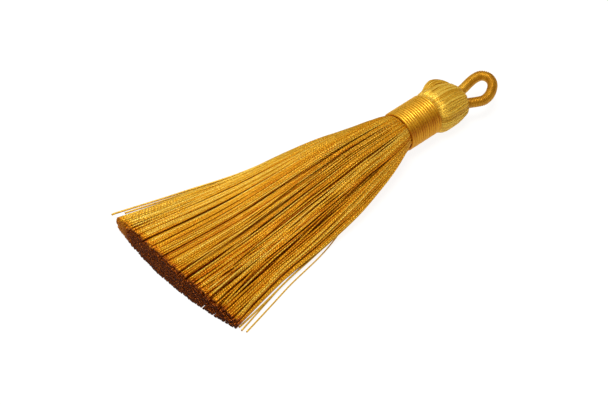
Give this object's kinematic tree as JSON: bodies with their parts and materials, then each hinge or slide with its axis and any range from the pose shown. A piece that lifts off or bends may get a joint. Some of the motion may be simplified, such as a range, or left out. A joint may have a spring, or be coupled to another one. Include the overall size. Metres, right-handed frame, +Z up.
{
  "type": "silk tassel",
  "caption": "Golden silk tassel lying on its side: looped cord, round head, bound neck and a fanned skirt of cut strands.",
  "frame": {"origin": "on the surface the tassel lies on, under the middle of its bounding box", "axes": "+X runs along the tassel towards its hanging loop, +Y is across the skirt, +Z is up"},
  "size_m": [0.0886, 0.0425, 0.0101],
  "materials": {
    "silk_yarn": "satin",
    "binding_thread": "satin",
    "covered_cord": "satin"
  },
  "bodies": {
    "root": {"silk_yarn": "silk_yarn", "neck_binding": "binding_thread", "hanging_loop": "covered_cord"}
  },
  "joints": []
}
